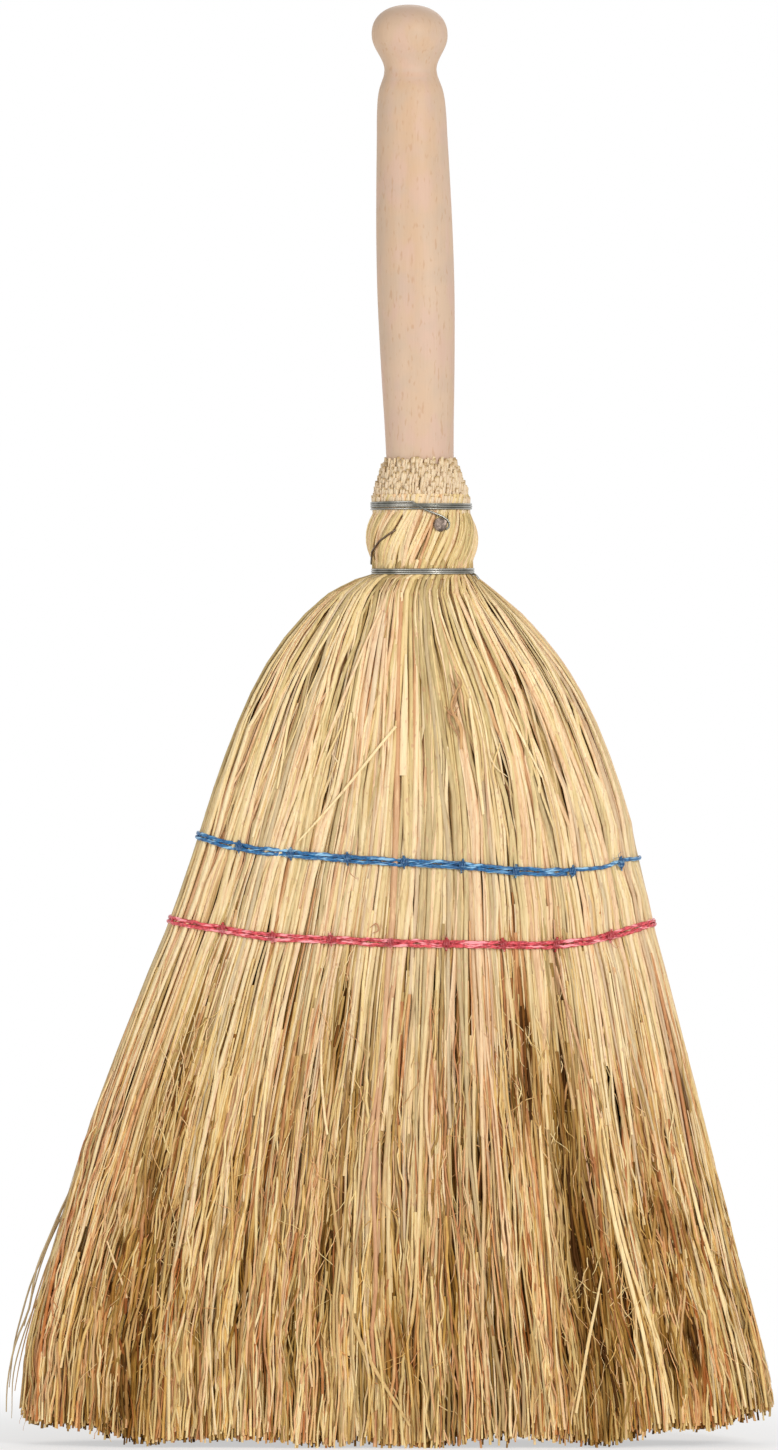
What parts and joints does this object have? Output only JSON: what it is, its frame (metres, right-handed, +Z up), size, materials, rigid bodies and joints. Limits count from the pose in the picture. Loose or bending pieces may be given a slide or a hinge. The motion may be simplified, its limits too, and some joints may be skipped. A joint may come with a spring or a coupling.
{
  "type": "straw hand broom",
  "caption": "Short straw hand broom: a turned wooden handle wired and nailed into a fan of sorghum straw that is sewn flat with coloured twine.",
  "frame": {"origin": "on the floor under the middle of the sweep, where the straw tips stand", "axes": "+Z up the broom, +X across the sweep to the viewer's right, -Y out of the front, where the nail is"},
  "size_m": [0.2715, 0.0542, 0.5181],
  "materials": {
    "beech": "turned beech, smooth and bare",
    "straw": "dry sorghum straw, satin",
    "inner_straw": "dry sorghum straw, matt",
    "galvanised_wire": "galvanised",
    "dark_steel": "dark nail steel",
    "blue_twine": "shiny twisted synthetic",
    "red_twine": "shiny twisted synthetic"
  },
  "bodies": {
    "root": {"handle": "beech", "core_bundle": "inner_straw", "binding_wire": "galvanised_wire", "nail": "dark_steel", "blue_twine": "blue_twine", "red_twine": "red_twine", "front_lock_1": "straw", "front_lock_2": "straw", "front_lock_3": "straw", "front_lock_4": "straw", "front_lock_5": "straw", "front_lock_6": "straw", "front_lock_7": "straw", "front_lock_8": "straw", "front_lock_9": "straw", "back_lock_1": "straw", "back_lock_2": "straw", "back_lock_3": "straw", "back_lock_4": "straw", "back_lock_5": "straw", "back_lock_6": "straw", "back_lock_7": "straw", "back_lock_8": "straw", "back_lock_9": "straw", "blue_stitch_1": "blue_twine", "blue_stitch_2": "blue_twine", "blue_stitch_3": "blue_twine", "blue_stitch_4": "blue_twine", "blue_stitch_5": "blue_twine", "blue_stitch_6": "blue_twine", "blue_stitch_7": "blue_twine", "blue_stitch_8": "blue_twine", "red_stitch_1": "red_twine", "red_stitch_2": "red_twine", "red_stitch_3": "red_twine", "red_stitch_4": "red_twine", "red_stitch_5": "red_twine", "red_stitch_6": "red_twine", "red_stitch_7": "red_twine", "red_stitch_8": "red_twine"}
  },
  "joints": []
}
